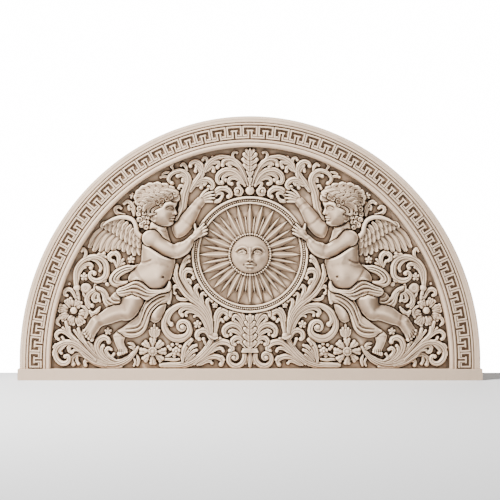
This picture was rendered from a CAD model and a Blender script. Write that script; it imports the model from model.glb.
import math

import bpy
import numpy as np
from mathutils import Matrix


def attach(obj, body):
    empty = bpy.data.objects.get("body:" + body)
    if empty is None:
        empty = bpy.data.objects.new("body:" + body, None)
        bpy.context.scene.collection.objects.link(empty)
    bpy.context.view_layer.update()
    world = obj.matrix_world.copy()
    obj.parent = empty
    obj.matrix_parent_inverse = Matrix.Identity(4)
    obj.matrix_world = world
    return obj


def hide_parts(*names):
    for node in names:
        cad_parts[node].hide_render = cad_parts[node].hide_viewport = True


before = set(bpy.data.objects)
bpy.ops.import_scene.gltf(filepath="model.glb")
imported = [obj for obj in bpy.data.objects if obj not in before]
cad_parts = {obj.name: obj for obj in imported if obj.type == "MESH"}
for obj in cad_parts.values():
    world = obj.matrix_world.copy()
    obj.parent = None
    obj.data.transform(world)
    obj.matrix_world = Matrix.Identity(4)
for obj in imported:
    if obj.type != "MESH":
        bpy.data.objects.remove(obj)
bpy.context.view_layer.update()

# Tympanum panel in carved limestone. The relief is laid out in millimetres on the left half: u is the
# distance from the centreline, v the height above the sill. The right half mirrors it.
mm = 0.001
layout = {
    "originHeight": 443.0,       # the medallion's middle above the sill
    "archHalfWidth": 893.0,
    "archRise": 951.0,
    "archStilt": 29.0,
    "frameWidth": 120.0,
    "groundDepth": 55.0,         # back to the ground of the relief
    "sillHeight": 43.0,
}
grid = {"cell": 1.75, "width": 776.0, "height": 866.0, "chunk": 20000}
cell = grid["cell"]
nu = int(grid["width"] / cell) + 2
nv = int(grid["height"] / cell) + 2
uAxis = np.arange(nu) * cell
vAxis = np.arange(nv) * cell
strand = (0.6, 1.08, 1.2, 1.15, 0.9)      # a foliage strand's width along its way
lock = (0.5, 0.9, 1.1, 1.1, 0.9, 0.8)     # and a lock's


def blank():
    return np.zeros((nv, nu))


# A path may be given flat, as u, v, u, v
def pairs(points):
    return np.reshape(np.asarray(points, float), (-1, 2))


# A point at a distance and an angle from the centre, the angle measured from the top towards the outside
def around(centre, reach, angle):
    return centre[0] + reach * np.sin(angle), centre[1] + reach * np.cos(angle)


# A smooth line through the points: Catmull-Rom, read again at even steps along its length
def smoothLine(points, step=1.2):
    p = pairs(points)
    if len(p) == 2:
        fine = p[0] + np.linspace(0, 1, 24)[:, None] * (p[1] - p[0])
    else:
        q = np.vstack([2 * p[0] - p[1], p, 2 * p[-1] - p[-2]])
        t = np.linspace(0, 1, 16, endpoint=False)[:, None]
        parts = [0.5 * (2 * b + (c - a) * t + (2 * a - 5 * b + 4 * c - d) * t ** 2
                        + (3 * b - a - 3 * c + d) * t ** 3)
                 for a, b, c, d in zip(q[:-3], q[1:-2], q[2:-1], q[3:])]
        fine = np.vstack(parts + [p[-1:]])
    run = np.concatenate([[0], np.cumsum(np.hypot(*np.diff(fine, axis=0).T))])
    s = np.linspace(0, run[-1], max(6, int(run[-1] / step) + 1))
    return np.stack([np.interp(s, run, fine[:, 0]), np.interp(s, run, fine[:, 1])], 1)


# A line's direction and spacing at each point, and the direction across it
def tangents(line):
    step = np.gradient(line, axis=0)
    pitch = np.maximum(np.hypot(*step.T), 1e-9)
    return step / pitch[:, None], pitch


def normals(line):
    tangent, _ = tangents(line)
    return np.stack([-tangent[:, 1], tangent[:, 0]], 1)


# The part of the grid between two corners, and the place of each of its cells; None off the grid
def window(low, high):
    i0, i1 = max(0, int(low[0] / cell)), min(nu, int(high[0] / cell) + 2)
    j0, j1 = max(0, int(low[1] / cell)), min(nv, int(high[1] / cell) + 2)
    if i1 <= i0 or j1 <= j0:
        return None
    return (slice(j0, j1), slice(i0, i1)), *np.meshgrid(uAxis[i0:i1], vAxis[j0:j1])


# Cells near a line: for each, its distance from the line, its share of the way along, and its side
def nearLine(line, reach):
    found = window(line.min(0) - reach, line.max(0) + reach)
    if found is None:
        return None
    box, gu, gv = found
    pts = np.stack([gu.ravel(), gv.ravel()], 1)
    tangent, pitch = tangents(line)
    near = np.empty(len(pts), int)
    for a in range(0, len(pts), grid["chunk"]):
        some = pts[a:a + grid["chunk"]]
        d2 = (some[:, 0, None] - line[None, :, 0]) ** 2 + (some[:, 1, None] - line[None, :, 1]) ** 2
        near[a:a + grid["chunk"]] = d2.argmin(1)
    off = pts - line[near]
    ahead = (off * tangent[near]).sum(1)
    across = off[:, 0] * -tangent[near, 1] + off[:, 1] * tangent[near, 0]
    half = pitch[near] * 0.6
    inside = np.clip(ahead, np.where(near == 0, 0.0, -half), np.where(near == len(line) - 1, 0.0, half))
    dist = np.hypot(across, ahead - inside)
    t = (near + inside / pitch[near]) / (len(line) - 1)
    return box, *(a.reshape(gu.shape) for a in (dist, np.clip(t, 0, 1), np.sign(across)))


# A value that changes along a line, eased from each given number to the next
def along(values, t):
    values = np.atleast_1d(np.asarray(values, float))
    if len(values) == 1:
        return np.full_like(t, values[0])
    x = t * (len(values) - 1)
    k = np.clip(x.astype(int), 0, len(values) - 2)
    f = x - k
    f = f * f * (3 - 2 * f)
    return values[k] * (1 - f) + values[k + 1] * f


def edgeOf(dist, width):
    return np.clip((width - dist) / cell + 0.5, 0, 1)


def roundTop(q):
    return np.sqrt(np.clip(1 - q * q, 0, 1))


# The larger of two heights, rounded where they cross
def smoothMax(a, b, k):
    both = (a > 0.01) & (b > 0.01)
    h = np.clip(0.5 + 0.5 * (b - a) / k, 0, 1)
    return np.where(both, a * (1 - h) + b * h + k * h * (1 - h), np.maximum(a, b))


# One cut of the tool along a line: a wall of height base, then a rounded, hollowed or ridged back
def stroke(layer, line, width, height, base=10.0, section="round", detail=0.0, ribs=2):
    found = nearLine(line, float(np.max(width)) + 2 * cell)
    if found is None:
        return
    box, dist, t, side = found
    w = np.maximum(along(width, t), 0.05)
    q = np.clip(dist / w, 0, 1)
    s = q * side
    if section == "round":
        top = roundTop(q)
    elif section == "ridge":         # roof shaped
        top = 1 - q
    elif section == "shingle":       # one edge high, the other tucked under its neighbour
        top = (0.5 + 0.5 * s) * (1 - q ** 6)
    elif section == "fluted":        # round strands side by side with sharp valleys between
        x = np.mod((s + 1) / 2 * ribs, 1.0) * 2 - 1
        top = (1 - 0.9 * q * q) ** 0.8 * (1 - detail + detail * np.sqrt(1 - 0.92 * x * x))
    rise = (along(base, t) + along(height, t) * top) * edgeOf(dist, w)
    layer[box] = np.maximum(layer[box], rise)


def flute(layer, path, width, height, base, detail, ribs, step=2.4):
    stroke(layer, smoothLine(path, step), width, height, base, "fluted", detail, ribs)


def blob(layer, centre, radii, height, base=10.0, angle=0.0, blend=0.0):
    ra, rb = radii
    reach = max(ra, rb) + 2 * cell
    found = window((centre[0] - reach, centre[1] - reach), (centre[0] + reach, centre[1] + reach))
    if found is None:
        return
    box, gu, gv = found
    gu, gv = gu - centre[0], gv - centre[1]
    a = np.radians(angle)
    q = np.hypot((gu * np.cos(a) + gv * np.sin(a)) / ra, (-gu * np.sin(a) + gv * np.cos(a)) / rb)
    edge = np.clip((1 - q) * min(ra, rb) / cell + 0.5, 0, 1)
    rise = (base + height * np.clip(1 - q * q, 0, 1) ** 0.5) * edge
    layer[box] = smoothMax(layer[box], rise, blend) if blend else np.maximum(layer[box], rise)


# A rounded limb along a line, joined softly to what is there
def limb(layer, points, radii, base, fat, blend):
    box, dist, t, _ = nearLine(smoothLine(points), float(np.max(radii)) + 2 * cell)
    r = along(radii, t)
    rise = (along(base, t) + fat * np.sqrt(np.clip(r * r - dist * dist, 0, None))) * edgeOf(dist, r)
    layer[box] = smoothMax(layer[box], rise, blend)


def bud(layer, centre, radius, height=16, base=14):
    blob(layer, centre, (radius, radius), height, base)


# A soft bump or hollow added to what is there; a thin one fades at its ends
def press(layer, points, width, depth):
    p = pairs(points)
    line = smoothLine(p) if len(p) > 1 else np.array([p[0], (p[0][0] + 0.01, p[0][1])])
    found = nearLine(line, float(np.max(width)) * 2.6)
    if found is None:
        return
    box, dist, t, _ = found
    w = along(width, t)
    fade = 1.0
    if len(p) > 2 and np.max(width) < 5:
        run = float(np.hypot(*np.diff(line, axis=0).T).sum())
        fade = np.clip(np.minimum(t, 1 - t) * run / (1.5 * w) + 0.3, 0, 1)
    part = layer[box]
    part += np.where(part > 0.01, along(depth, t) * fade * np.exp(-(dist / w) ** 2), 0)


# Bumps and hollows in turn, each its path, width and depth; where sets the paths out on a face
def pressAll(layer, marks, where=pairs):
    for path, width, depth in marks:
        press(layer, where(path), width, depth)


# A fold pressed up along a line: gentle on one side, steep on the other
def fold(layer, points, broad, steep, rise, taper=5.0):
    found = nearLine(smoothLine(points), max(broad, steep) * 2.6)
    if found is None:
        return
    box, dist, t, side = found
    w = np.where(side > 0, broad, steep)
    fade = np.clip(np.minimum(t, 1 - t) * taper + 0.15, 0, 1)
    part = layer[box]
    part += np.where(part > 0.01, rise * fade * np.exp(-(dist / w) ** 2), 0)


def blur(a, passes, size):
    n = max(1, int(round(size / cell)))
    k = 2 * n + 1
    for axis in (0, 1) * passes:
        pad = [(0, 0), (0, 0)]
        pad[axis] = (n + 1, n)
        c = np.cumsum(np.pad(a, pad, mode="edge"), axis=axis)
        a = (c[k:] - c[:-k]) / k if axis == 0 else (c[:, k:] - c[:, :-k]) / k
    return a


# Sets a finished layer into the relief: what is under it is cut back round its outline, then it covers it
def place(relief, layer, halo=0.5, reach=4.0):
    mask = np.clip(layer / 2.0, 0, 1)
    rows, cols = (np.where(mask.max(axis) > 0)[0] for axis in (1, 0))
    pad = int(reach * 3 / cell) + 2
    box = tuple(slice(max(0, line[0] - pad), line[-1] + pad) for line in (rows, cols))
    m = mask[box]
    under = relief[box]
    if halo:
        under = under * (1 - halo * np.clip(blur(m, 2, reach) * 1.8, 0, 1))
    relief[box] = under * (1 - m) + layer[box] * m


# A stem whose outer edge runs through the points, its body to the right of them
def band(layer, edge, width, height, base, ribs, detail, ball):
    line = smoothLine(edge, 2.4)
    half = np.asarray(width, float) / 2
    mid = line + normals(line) * along(-half, np.linspace(0, 1, len(line)))[:, None]
    stroke(layer, mid, half, height, base, "fluted", detail, ribs)
    bud(layer, mid[-1], ball, height + 3, base)


# A spiral: the outer radius at each quarter turn, angle measured from the top towards the outside
def spiral(centre, radii, start, turn, width):
    k = np.linspace(0, len(radii) - 1, (len(radii) - 1) * 14 + 1)
    r = np.interp(k, np.arange(len(radii)), radii)
    w = np.interp(np.linspace(0, 1, len(k)), np.linspace(0, 1, len(width)), width)
    return np.stack(around(centre, r - w / 2, np.radians(start + turn * 90 * k)), 1)


def scroll(layer, centre, radii, start, turn, width, height, base, ribs, ball):
    line = spiral(centre, radii, start, turn, width)
    stroke(layer, line, np.asarray(width) / 2, height, base, "fluted", 0.52, ribs)
    bud(layer, centre, ball, height + 6, base)


# A small curl: a strand wound inwards round a drilled eye
def curl(layer, centre, radius, start, turn, height, base):
    bud(layer, centre, radius, height, base)
    radii = (radius * 1.05, radius * 0.95, radius * 0.8, radius * 0.6, radius * 0.4, radius * 0.2)
    press(layer, spiral(centre, radii, start, turn, (0.0,))[::3], radius * 0.15, -height * 0.45)
    press(layer, centre, radius * 0.2, -height * 0.7)


# An acanthus leaf: strands bundled along a spine; each inner one leaves it and hooks round to its own tip.
# A tip is a point, or the strand's whole path
def leaf(layer, spine, tips=(), width=(5, 9, 8, 6), height=15, base=13, ball=0.0, eyes=(), lobe=8.0):
    line = smoothLine(spine, 2.4)
    width = np.asarray(width, float)
    normal = normals(line)
    for order, tip in enumerate(tips):
        low = base - 1.5 * (order % 3)
        if len(tip) > 2:
            way = smoothLine(tip, 2.0)
            size = lobe * 0.9
            widths = (size * 0.5, size * 1.05, size * 1.15, size * 1.1, size * 0.85)
            stroke(layer, way, widths, height * 0.9, low, "fluted", 0.56, 2)
            bud(layer, way[-1], size, height * 0.85, low)
            continue
        tip = np.asarray(tip, float)
        gap = np.hypot(*(line - tip).T)
        gap[int(len(line) * 0.72):] += 99
        k = int(gap.argmin())
        side = np.sign((normal[k] * (tip - line[k])).sum())
        ahead = min(len(line) - 1, k + int(gap[k] * 0.32 / 2.4) + 2)
        back = max(0, k - int((gap[k] * 0.9 + 14) / 2.4))
        inner = along(width, np.linspace(0, 1, len(line)))

        def beside(i, share):
            return line[i] + side * normal[i] * (inner[i] * 0.5 + (gap[k] - inner[i] * 0.5) * share)

        way = smoothLine([line[back] + side * normal[back] * inner[back] * 0.4,
                          beside(max(back + 1, (2 * k + back) // 3), 0.10),
                          beside(ahead, 0.42), beside(ahead, 0.80), tip], 2.0)
        size = min(lobe * 0.85, 4.0 + gap[k] * 0.16)
        widths = (size * 0.5, size * 1.05, size * 1.2, size * 1.1, size * 0.9)
        stroke(layer, way, widths, height * 0.9, low, "fluted", 0.56, 2)
        bud(layer, tip, size * 1.05, height * 0.85, low)
    stroke(layer, line, width * 1.06, height, base, "fluted", 0.58, 2 if np.max(width) < 12 else 3)
    if ball:
        bud(layer, line[-1], ball, height * 0.9, base + 2)
    for eye in eyes:
        press(layer, eye, 3.4, -22)


# Strands of foliage one over another: each a path, its half width and the ball at its tip
def spray(layer, strands, height=15, base=14):
    for order, (points, size, ball) in enumerate(strands):
        way = smoothLine(points, 2.0)
        low = base + 0.7 * order
        stroke(layer, way, np.array(strand) * size, height, low, "fluted", 0.56, 2)
        if ball:
            bud(layer, way[-1], ball * 1.08, height, low)


# A little flower with five petals
def starFlower(layer, centre, radius):
    for a in np.radians(72.0 * np.arange(5)):
        line = smoothLine([centre, around(centre, radius * 0.68, a)], 2.0)
        stroke(layer, line, (radius * 0.2, radius * 0.42), 12, 20, "fluted", 0.45, 1)
    bud(layer, centre, radius * 0.26, 17, 20)


def insideOf(outline, gu, gv):
    inside = np.zeros(gu.shape, bool)
    for (x0, y0), (x1, y1) in zip(outline, np.roll(outline, -1, axis=0)):
        if y0 != y1:
            inside ^= ((y0 > gv) != (y1 > gv)) & (gu < (x1 - x0) * (gv - y0) / (y1 - y0) + x0)
    return inside


# A smooth closed line: drawn past its ends, then cut to what lies between the first and last true points
def closedLine(points):
    p = pairs(points)
    line = smoothLine(np.vstack([p[-2:], p, p[:2]]), 2.4)
    tail = len(line) // 2
    first = int(np.hypot(*(line - p[0]).T)[:tail].argmin())
    last = tail + int(np.hypot(*(line[tail:] - p[0]).T).argmin())
    return line[first:last]


# A cushioned shape: the outline filled, rising from its edge over the distance round, as a circle does
def cushion(layer, outline, round_, height, base=20.0, tilt=(0.0, 0.0), smooth=3.0):
    edge = closedLine(outline)
    box, gu, gv = window(edge.min(0) - 4, edge.max(0) + 4)
    inside = insideOf(edge, gu, gv)
    pts = np.stack([gu.ravel(), gv.ravel()], 1)
    dist = np.empty(len(pts))
    d = np.roll(edge, -1, axis=0) - edge
    length2 = np.maximum((d ** 2).sum(1), 1e-9)
    for k in range(0, len(pts), grid["chunk"]):
        rel = pts[k:k + grid["chunk"], None, :] - edge[None]
        t = np.clip((rel * d[None]).sum(2) / length2[None], 0, 1)
        dist[k:k + grid["chunk"]] = np.sqrt(((rel - t[..., None] * d[None]) ** 2).sum(2).min(1))
    dist = dist.reshape(gu.shape)
    signed = np.where(inside, dist, -dist)
    q = np.clip(signed / round_, 0, 1)
    body = height * np.clip(1 - (1 - q) ** 2, 0, 1) ** (0.95 if round_ > 18 else 0.65)
    centre = edge.mean(0)
    body += (tilt[0] * (gu - centre[0]) + tilt[1] * (gv - centre[1])) * np.minimum(q * 2, 1)
    m = inside.astype(float)
    soft = blur(body * m, 2, smooth) / np.maximum(blur(m, 2, smooth), 1e-3)
    share = np.clip((q - 0.25) * 2, 0, 1)
    body = np.where(q > 0.25, soft * share + body * (1 - share), body)
    rise = (base + np.maximum(body, 0)) * np.clip(signed / cell + 0.5, 0, 1)
    layer[box] = np.maximum(layer[box], rise)


# A feather: tilted so that it overlaps its neighbour, with a fine shaft and a rounded end
def feather(layer, points, width, height, base):
    line = smoothLine(points, 2.0)
    stroke(layer, line, width, height, base, "shingle")
    press(layer, line[2:-2:5], 1.3, -3)


def lowerFoliage(layer):
    # the long stem beside the medallion and the leaves it throws off
    spray(layer, (((242, 268, 262, 268, 278, 272, 285, 282), 6.5, 0),
        ((276, 328, 290, 340, 299, 352), 5, 0), ((284, 354, 294, 368, 296, 382), 5, 0),
        ((150, 195, 158, 225, 166, 248, 165, 265, 155, 270, 147, 262), 7, 6),
        ((180, 250, 187, 272, 188, 286, 179, 293, 171, 285), 6, 5),
        ((165, 225, 188, 255, 206, 285, 213, 306, 206, 320, 194, 322, 187, 312), 8.5, 6),
        ((258, 298, 272, 314, 288, 320, 299, 310, 298, 298, 291, 292), 7, 6),
        ((146, 130, 153, 190, 176, 236, 204, 268, 232, 300, 254, 334, 266, 362, 263, 392, 253, 420, 239,
        435), 9, 8), ((262, 384, 257, 404, 248, 415, 237, 419), 6.5, 7),
        ((150, 130, 158, 185, 180, 228, 212, 258, 244, 284, 268, 314, 284, 348, 289, 378, 285, 400), 9.5,
        0), ((205, 270, 228, 300, 244, 320, 251, 334, 244, 343, 233, 341, 231, 333), 7.5, 6),
        ((220, 292, 244, 328, 258, 356, 254, 376, 238, 383, 220, 375, 214, 361, 221, 352), 9.5, 7)), 16, 13)
    pressAll(layer, (((230, 361), 3.6, -20), ((199, 304), 3.4, -20)))
    # the great volute and its inner strands
    spray(layer, (((160, 125, 168, 150, 178, 178, 192, 200, 206, 208, 217, 202), 5.5, 5),
        ((170, 160, 190, 198, 214, 218, 236, 222, 250, 214, 248, 206), 6, 6),
        ((156, 128, 166, 168, 187, 204, 214, 226, 243, 236, 262, 232, 271, 219, 264, 208), 9, 8.5),
        ((232, 248, 270, 244, 300, 228, 317, 203, 318, 184, 307, 172), 8.5, 9.5)), 15, 14)
    flute(layer, (148, 118, 153, 152, 166, 190, 190, 222, 224, 243, 263, 247), (7, 9, 10, 10, 10), 16, 17,
        0.58, 2)
    scroll(layer, (263, 161), (96, 83, 58, 37, 31, 24, 18, 14), 0, 1, (20, 26, 32, 23, 17, 13, 11, 9), 15,
        17, 2, 11)
    # leaf in the crook of the volute
    spray(layer, (((168, 86, 176, 102, 181, 115), 5, 7),
        ((150, 102, 157, 126, 170, 145, 188, 149, 203, 139, 206, 123, 198, 114), 9.5, 7.5)), 16, 14)
    # sprays to the right of the lower stem
    spray(layer, (((230, 12, 192, 38, 162, 68, 138, 96, 116, 116), 8, 6),
        ((196, 12, 172, 26, 156, 28, 148, 20), 6, 6.5),
        ((204, 14, 170, 38, 142, 47, 119, 42, 108, 29, 113, 15), 9.5, 9),
        ((124, 46, 110, 44, 102, 34), 6, 6), ((190, 34, 156, 62, 130, 78, 110, 77, 104, 68), 7, 6.5),
        ((216, 18, 178, 50, 148, 82, 120, 102, 93, 102, 74, 90, 68, 77, 77, 69), 10.5, 8)), 16, 14)
    press(layer, (93, 83), 3.4, -20)
    flute(layer, (345, 13, 324, 11, 282, 11, 247, 17, 212, 34, 182, 60, 162, 88, 149, 110, 143, 130),
        (10, 13, 14, 14, 14, 13, 12, 11, 9), 16, 16, 0.62, 4)
    # spray above the sheath
    spray(layer, (((128, 168, 122, 186, 112, 190, 105, 183), 6, 6),
        ((138, 186, 132, 210, 123, 228, 115, 234), 6.5, 5),
        ((134, 136, 131, 170, 127, 198, 119, 216, 105, 224, 90, 217, 85, 204, 94, 195), 10.5, 7.5)), 16, 14)
    press(layer, (103, 205), 3.6, -20)
    bud(layer, (137, 128), 13, 14, 24)
    stroke(layer, smoothLine((158, 128, 148, 122, 137, 118, 126, 120), 2.0), (4, 6, 6, 4), 10, 30)
    # leaf between the stem and the blossom
    spray(layer, (((246, 26, 232, 40, 216, 53), 6, 5), ((251, 32, 238, 50, 222, 66, 208, 72), 7, 6),
        ((256, 40, 242, 64, 224, 84, 209, 90), 7, 6), ((262, 24, 260, 50, 254, 76, 242, 98, 229, 111), 10,
        7)), 16, 14)
    pressAll(layer, (((243, 88), 3.0, -18), ((236, 72), 2.6, -14)))
    for centre, radius in (((204, 172), 15), ((457, 672), 12), ((552, 145), 14), ((136, 246), 11),
            ((645, 357), 15), ((462, 423), 14)):
        starFlower(layer, centre, radius)
    # blossom by the daisy
    for a in np.radians(72.0 * np.arange(5)):
        bud(layer, around((287, 67), 10, a), 8, 12, 18)
    bud(layer, (287, 67), 6, 14, 22)
    for ball in ((310, 76), (295, 48), (302, 92), (318, 84), (274, 54), (272, 86), (284, 96)):
        bud(layer, ball, 7.5, 10, 14)
    spray(layer, (((344, 34, 320, 36, 298, 33, 276, 36), 6, 4), ((330, 46, 312, 52, 300, 60), 5, 4)), 12,
        12)
    daisy(layer, (378, 67), 54)
    # bud under the rear knee
    spray(layer, (((372, 174, 373, 156), 4.5, 0), ((370, 120, 384, 132, 390, 148), 6, 4),
        ((374, 120, 360, 132, 354, 148), 6, 4), ((372, 118, 366, 136, 362, 156), 6.5, 5),
        ((372, 118, 378, 136, 382, 156), 6.5, 5), ((372, 116, 372, 134, 372, 150), 6, 5)), 12, 13)


# A flower with eight petals, each with a two-lobed tip, and a ring of seeds round its heart
def daisy(layer, centre, radius):
    for a in np.radians(45.0 * np.arange(8)):
        petal = blank()
        line = smoothLine([around(centre, 14, a), around(centre, radius * 0.76, a)], 2.4)
        stroke(petal, line, (5, 8, 11, 13, 12), 15, 15)
        for turn in (-0.15, 0.15):
            bud(petal, around(centre, radius * 0.87, a + turn), 7.5, 13, 14)
        press(petal, [around(centre, reach, a) for reach in (34, radius)], 2.0, -3.5)
        place(layer, petal, 0.5, 3.0)
    bud(layer, centre, 18, 6, 30)
    for a in np.radians(30.0 * np.arange(12)):
        bud(layer, around(centre, 13.5, a), 3.6, 5, 33)
    bud(layer, centre, 9.5, 9, 32)


def leftFoliage(layer):
    # the scroll at the side
    spray(layer, (((668, 350, 663, 372, 653, 388, 641, 394), 5.5, 5.5),
        ((672, 330, 669, 360, 662, 384, 645, 402, 628, 407, 616, 400, 619, 391), 8, 8),
        ((622, 425, 600, 420, 585, 405, 580, 390, 584, 379), 6.5, 6)), 14, 14)
    scrollLine = (670, 290, 676, 322, 679, 352, 676, 382, 661, 408, 637, 426, 608, 434, 580, 427, 563, 409,
        558, 386, 561, 362, 576, 347, 598, 342, 617, 350, 623, 364, 615, 375, 604, 372)
    flute(layer, scrollLine, (6, 9, 10, 11, 11, 11, 12, 12, 12, 11, 9, 7), 16, 17, 0.58, 2)
    bud(layer, (605, 370), 9, 20, 17)
    spray(layer, (((596, 436, 584, 446, 571, 449), 6, 9.5), ((586, 436, 572, 438, 560, 433), 5, 5),
        ((650, 424, 640, 440, 640, 456, 648, 465, 655, 456), 6, 5),
        ((506, 402, 500, 416, 493, 424), 5.5, 5), ((508, 398, 500, 404, 489, 409), 5, 4.5),
        ((520, 396, 524, 410, 530, 418), 5, 6), ((518, 394, 510, 416, 512, 438, 527, 450, 544, 442, 547,
        428, 539, 420), 8.5, 5.5)), 15, 14)
    press(layer, (536, 432), 3.2, -18)
    blob(layer, (568, 344), (11, 10), 13, 14, 30)
    blob(layer, (556, 328), (10, 9), 12, 13, 30)
    # leaf hanging under the scroll
    spray(layer, (((600, 298, 602, 312, 602, 326), 6.5, 5), ((640, 262, 634, 246, 626, 236), 5, 5),
        ((592, 306, 612, 300, 628, 286, 634, 266, 626, 248, 614, 244), 9.5, 7),
        ((588, 296, 602, 290, 610, 276, 604, 264, 592, 266), 8, 7), ((584, 300, 590, 280, 584, 262), 6, 5),
        ((584, 238, 598, 220, 612, 213, 624, 222), 7.5, 7), ((590, 226, 604, 210, 616, 204), 5, 4)), 15, 14)
    press(layer, (606, 252), 3.2, -16)
    bud(layer, (674, 314), 13, 17, 22)
    bud(layer, (704, 330), 6, 9, 11)
    bud(layer, (639, 312), 21, 14, 14)
    press(layer, (639, 312), 9, -7)
    bud(layer, (639, 312), 4.5, 7, 18)
    spray(layer, (((650, 294, 645, 285, 640, 278), 5, 5), ((668, 300, 668, 280, 667, 256), 6, 0),
        ((672, 262, 682, 284, 693, 302, 708, 309, 720, 301, 721, 289, 712, 284), 7.5, 6)), 14, 13)
    press(layer, (703, 295), 3.0, -16)
    # flower with seven petals
    heart = (686, 224)
    for tip, size in (((651, 214), 17), ((673, 248), 17), ((702, 254), 18), ((726, 232), 18),
            ((722, 203), 17), ((695, 188), 18), ((664, 188), 19)):
        petal = blank()
        lean = np.array(tip, float) - heart
        lean /= np.hypot(*lean)
        bud(petal, tip, size, 13, 14)
        for turn in (-0.8, 0.0, 0.8):
            edge = (tip[0] + size * 0.75 * (lean[0] + lean[1] * turn),
                tip[1] + size * 0.75 * (lean[1] - lean[0] * turn))
            bud(petal, edge, size * 0.42, 9, 14)
            middle = (0.4 * tip[0] + 0.6 * heart[0], 0.4 * tip[1] + 0.6 * heart[1])
            press(petal, [heart, middle, edge], 2.6, -4)
        place(layer, petal, 0.3, 2.5)
    bud(layer, (686, 226), 14, 17, 20)
    for a in np.radians(60.0 * np.arange(6)):
        press(layer, around((686, 226), 14.5, a), 2.2, -8)
    spray(layer, (((740, 166, 751, 180, 744, 196, 731, 196), 6.5, 6),
        ((644, 198, 634, 216, 640, 234, 654, 242), 6, 5)), 14, 13)
    # foliage fanning from the lower stem
    spray(layer, (((600, 52, 612, 74, 618, 90, 628, 103), 6, 5), ((604, 62, 606, 76, 603, 90), 5, 4.5),
        ((640, 96, 652, 120, 648, 148), 6, 5), ((648, 100, 668, 128, 684, 148), 6, 5),
        ((575, 32, 610, 60, 640, 96, 660, 128, 668, 154), 7.5, 6),
        ((700, 132, 716, 146, 728, 158), 5.5, 5), ((696, 128, 702, 144, 703, 160), 5.5, 5),
        ((560, 20, 604, 40, 640, 72, 668, 100, 694, 124, 708, 150, 716, 180), 8, 5.5),
        ((690, 112, 704, 128, 722, 142, 740, 145, 754, 133, 752, 119, 745, 114), 7.5, 6.5),
        ((712, 104, 724, 112, 730, 122), 5, 5.5), ((560, 12, 604, 26, 640, 50, 668, 78, 690, 92, 703, 84,
        702, 70, 694, 64), 9.5, 8), ((640, 56, 662, 70, 682, 73, 688, 64), 5.5, 5),
        ((690, 100, 716, 94, 732, 80, 740, 68, 733, 60), 6.5, 6), ((742, 96, 756, 92, 763, 82), 5, 5),
        ((752, 70, 763, 64, 764, 54), 5, 5), ((600, 34, 640, 70, 672, 94, 704, 103, 734, 96, 753, 78, 757,
        54, 748, 32, 730, 20, 712, 23, 703, 36, 708, 48, 718, 47), 9.5, 8)), 15, 14)
    bud(layer, (727, 14), 7, 12, 14)
    spray(layer, (((540, 10, 590, 26, 630, 46, 660, 56, 682, 50, 693, 34, 688, 16), 9.5, 9),
        ((672, 48, 674, 32, 668, 18), 6, 7), ((688, 46, 698, 42, 702, 32), 5, 5),
        ((500, 8, 545, 6, 595, 18, 626, 33, 642, 26, 640, 12), 8.5, 7.5)), 14, 13)
    flute(layer, (436, 82, 452, 60, 474, 38, 506, 22, 542, 16, 580, 26, 612, 46, 640, 76),
        (6, 10, 14, 16, 17, 15, 11, 7), 16, 16, 0.62, 4)
    # curled leaves above the stem
    spray(layer, (((520, 30, 542, 42, 556, 56, 560, 70, 551, 79, 540, 74), 7.5, 6),
        ((534, 34, 536, 46, 529, 56), 5, 6), ((545, 30, 566, 48, 577, 66, 577, 80, 571, 88), 7.5, 7),
        ((530, 22, 566, 36, 588, 60, 596, 86, 590, 108, 573, 120, 556, 116, 550, 104), 11, 8)), 16, 15)
    pressAll(layer, (((563, 103), 4.0, -22), ((545, 64), 3.0, -16)))
    spray(layer, (((474, 98, 460, 96, 450, 86), 6, 5), ((470, 84, 456, 80, 446, 72), 6, 5),
        ((440, 52, 434, 32, 438, 12), 6, 4), ((452, 40, 446, 24, 452, 10), 5, 4)), 12, 12)


# An upright leaf on the centreline, its side lobes given by their height and reach
def axisLeaf(layer, foot, top, lobes):
    body = blank()
    heights = [foot] + [v for v, _ in lobes] + [top]
    widths = [lobes[0][1] * 0.7] + [r * 0.72 for _, r in lobes] + [2]
    width = np.interp(np.linspace(foot, top, 12), heights, widths)
    stroke(body, smoothLine([(0, foot), (0, top)], 2.4), width, 16, 20)
    for v, reach in lobes:
        line = smoothLine([(1, v - 14), (reach * 0.55, v - 7), (reach, v + 5)], 2.0)
        stroke(body, line, np.array((0.3, 0.42, 0.4)) * min(reach, 17) + 1.5, 14, 20)
        press(body, [(2, v - 22), (reach * 0.5, v - 17), (reach + 1, v - 7)], 1.9, -5)
        press(body, [(3, v - 12), (reach * 0.6, v - 5), (reach - 2, v + 3)], 1.4, -3)
    press(body, [(0, foot + 8), (0, (foot + top) / 2), (0, top - 10)], 2.4, -6)
    place(layer, body, 0.3, 2.5)


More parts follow.
